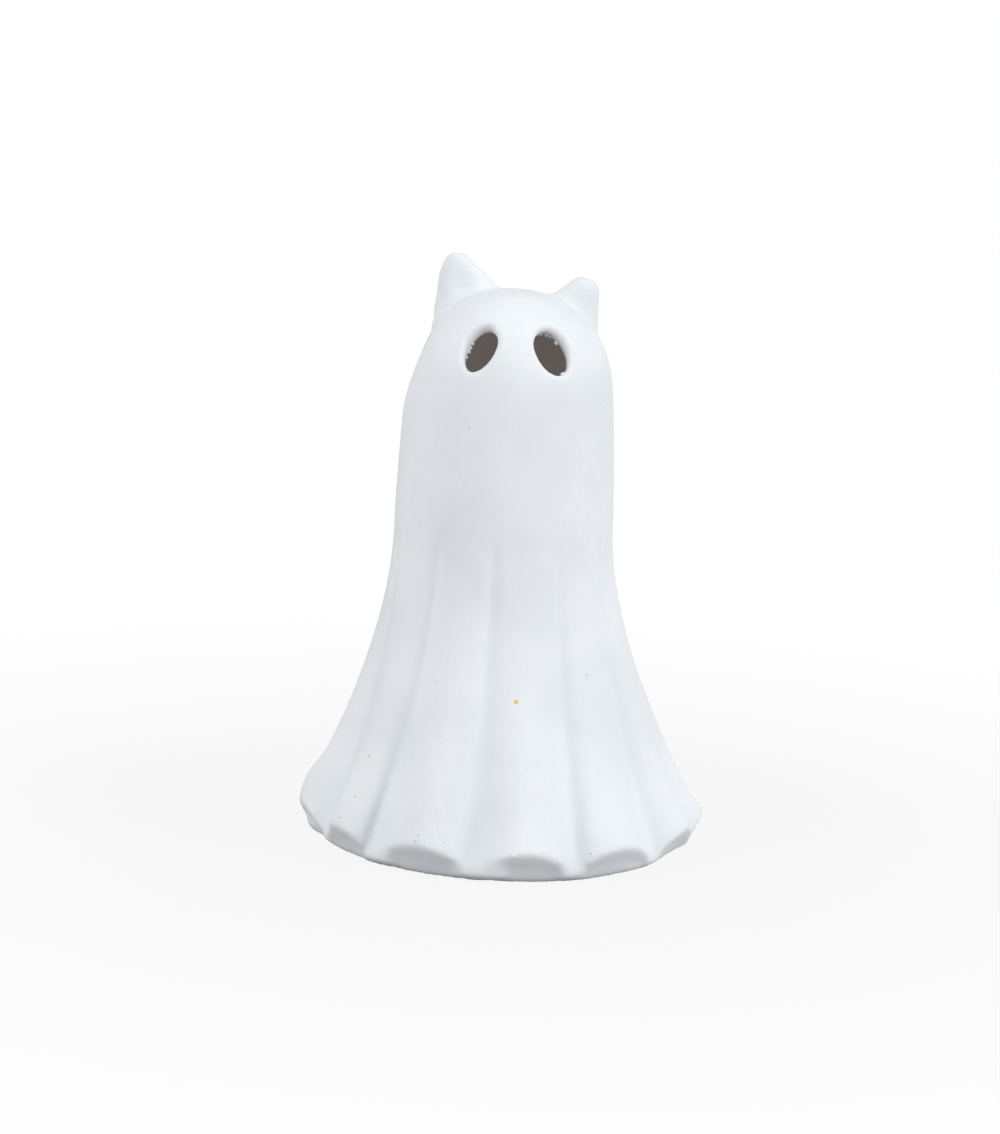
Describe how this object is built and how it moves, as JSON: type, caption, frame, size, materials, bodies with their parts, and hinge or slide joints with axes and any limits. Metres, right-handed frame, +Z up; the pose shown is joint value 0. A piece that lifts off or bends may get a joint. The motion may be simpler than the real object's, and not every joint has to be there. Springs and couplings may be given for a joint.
{
  "type": "ceramic ghost figure",
  "caption": "Hollow unglazed ghost with cat ears, cut-through slanted eyes and a folded drape with a scalloped hem, lifting off an electric tealight that stands inside it.",
  "frame": {"origin": "on the table under the crown, at the middle of the foot ring", "axes": "+Z up, the face looks along -Y, +X is the viewer's right"},
  "size_m": [0.1024, 0.1025, 0.15],
  "materials": {
    "bisque": "unglazed matte white bisque, fine sanding marks and pinholes",
    "wax_white": "ivory wax-like moulded plastic, soft sheen",
    "flame_amber": "frosted translucent warm plastic",
    "lamp_clear": "clear pale epoxy lamp",
    "tinned_wire": "tinned wire",
    "plate_white": "white moulded plastic, fine spark texture",
    "cell_steel": "stainless steel can, circular brushing",
    "spring_nickel": "nickel-plated spring strip",
    "knob_black": "black moulded plastic"
  },
  "bodies": {
    "tealight": {"candle_cup": "wax_white", "flame_lens": "flame_amber", "led_bulb": "lamp_clear", "led_leads": "tinned_wire", "base_plate": "plate_white", "coin_cell": "cell_steel", "positive_contact": "spring_nickel", "negative_contact": "spring_nickel"},
    "ghost": {"ghost_shell": "bisque"},
    "switch": {"switch_knob": "knob_black"},
    "door": {"battery_door": "plate_white"}
  },
  "joints": [
    {"name": "ghost_lift", "type": "slide", "parent": "tealight", "child": "ghost", "axis": [0, 0, 1], "range_m": [0, 0.06]},
    {"name": "switch_slide", "type": "slide", "parent": "tealight", "child": "switch", "axis": [1, 0, 0], "range_m": [0, 0.0022]},
    {"name": "door_hinge", "type": "hinge", "parent": "tealight", "child": "door", "pos_m": [0, 0.0122, 0.0024], "axis": [1, 0, 0], "range_deg": [0, 90]}
  ]
}
